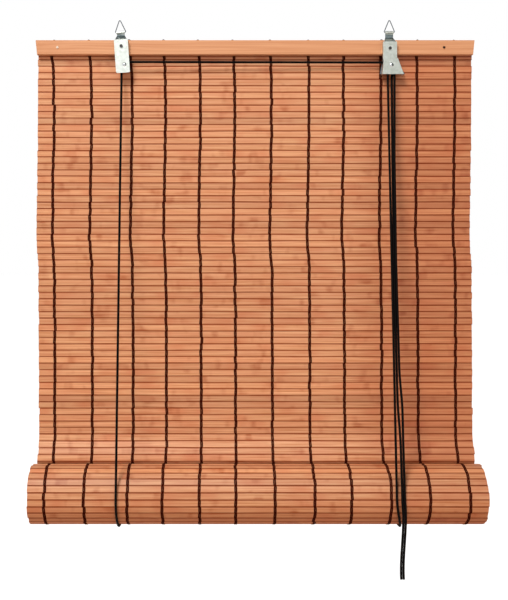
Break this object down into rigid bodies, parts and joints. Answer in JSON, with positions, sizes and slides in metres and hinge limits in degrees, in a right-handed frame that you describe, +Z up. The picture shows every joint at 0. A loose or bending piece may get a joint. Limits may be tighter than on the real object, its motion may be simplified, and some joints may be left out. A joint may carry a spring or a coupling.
{
  "type": "bamboo roll-up blind",
  "caption": "Bamboo slat blind on a batten head rail, rolled up at its foot and slung in two lift cords that run over a pulley to a wedge-roller cord lock; hangs from wire rings.",
  "frame": {"origin": "centre of the head rail's back face, which lies against the wall", "axes": "+Y out of the back face towards the wall, +Z up, the blind's front faces -Y"},
  "size_m": [0.604, 0.0923, 0.7417],
  "materials": {
    "bamboo_slat": "sanded bamboo, clear sealed",
    "batten_wood": "planed and stained softwood",
    "stitch_thread": "twisted cotton thread",
    "zinc_steel": "bright zinc plate",
    "cord": "braided polyester"
  },
  "bodies": {
    "head_rail": {"hanging_mat": "bamboo_slat", "front_batten": "batten_wood", "back_batten": "batten_wood", "hanging_thread_1": "stitch_thread", "hanging_thread_2": "stitch_thread", "hanging_thread_3": "stitch_thread", "hanging_thread_4": "stitch_thread", "hanging_thread_5": "stitch_thread", "hanging_thread_6": "stitch_thread", "hanging_thread_7": "stitch_thread", "hanging_thread_8": "stitch_thread", "hanging_thread_9": "stitch_thread", "hanging_thread_10": "stitch_thread", "hanging_thread_11": "stitch_thread", "hanging_thread_12": "stitch_thread", "rail_nails": "zinc_steel", "left_bracket": "zinc_steel", "left_screw": "zinc_steel", "left_rivet": "zinc_steel", "right_bracket": "zinc_steel", "right_screw": "zinc_steel", "right_rivet": "zinc_steel", "lock_back_plate": "zinc_steel", "cord_knots": "cord", "cross_cord": "cord", "lock_cord": "cord", "left_front_cord": "cord", "left_back_cord": "cord", "right_front_cord": "cord", "right_back_cord": "cord", "pull_cord_left": "cord", "pull_cord_right": "cord"},
    "roll": {"rolled_mat": "bamboo_slat", "bottom_batten": "batten_wood", "left_sling_cord": "cord", "right_sling_cord": "cord", "rolled_thread_1": "stitch_thread", "rolled_thread_2": "stitch_thread", "rolled_thread_3": "stitch_thread", "rolled_thread_4": "stitch_thread", "rolled_thread_5": "stitch_thread", "rolled_thread_6": "stitch_thread", "rolled_thread_7": "stitch_thread", "rolled_thread_8": "stitch_thread", "rolled_thread_9": "stitch_thread", "rolled_thread_10": "stitch_thread", "rolled_thread_11": "stitch_thread", "rolled_thread_12": "stitch_thread"},
    "left_ring": {"left_ring": "zinc_steel"},
    "right_ring": {"right_ring": "zinc_steel"},
    "left_pulley": {"left_pulley": "zinc_steel"},
    "guide_roller": {"guide_roller": "zinc_steel"},
    "wedge_roller": {"wedge_roller": "zinc_steel"}
  },
  "joints": [
    {"name": "roll_lift", "type": "slide", "parent": "head_rail", "child": "roll", "axis": [0, 0, 1], "range_m": [0, 0.36], "deforming": ["hanging_mat", "hanging_thread_1", "hanging_thread_2", "hanging_thread_3", "hanging_thread_4", "hanging_thread_5", "hanging_thread_6", "hanging_thread_7", "hanging_thread_8", "hanging_thread_9", "hanging_thread_10", "hanging_thread_11", "hanging_thread_12", "left_front_cord", "right_front_cord", "pull_cord_left", "pull_cord_right", "left_back_cord", "right_back_cord"]},
    {"name": "left_ring_swing", "type": "hinge", "parent": "head_rail", "child": "left_ring", "pos_m": [-0.18488, -0.01895, 0.02015], "axis": [0.9976, 0, 0.0698], "range_deg": [-90, 90]},
    {"name": "right_ring_swing", "type": "hinge", "parent": "head_rail", "child": "right_ring", "pos_m": [0.1845, -0.01895, 0.0202], "axis": [1, 0, 0], "range_deg": [-90, 90]},
    {"name": "left_pulley_spin", "type": "hinge", "parent": "head_rail", "child": "left_pulley", "pos_m": [-0.17922, -0.0206, -0.02496], "axis": [0, 1, 0], "continuous": true},
    {"name": "guide_roller_spin", "type": "hinge", "parent": "head_rail", "child": "guide_roller", "pos_m": [0.1865, -0.0189, -0.0252], "axis": [0, 1, 0], "continuous": true},
    {"name": "wedge_slide", "type": "slide", "parent": "head_rail", "child": "wedge_roller", "axis": [0.3493, 0, -0.937], "range_m": [0, 0.004]}
  ]
}
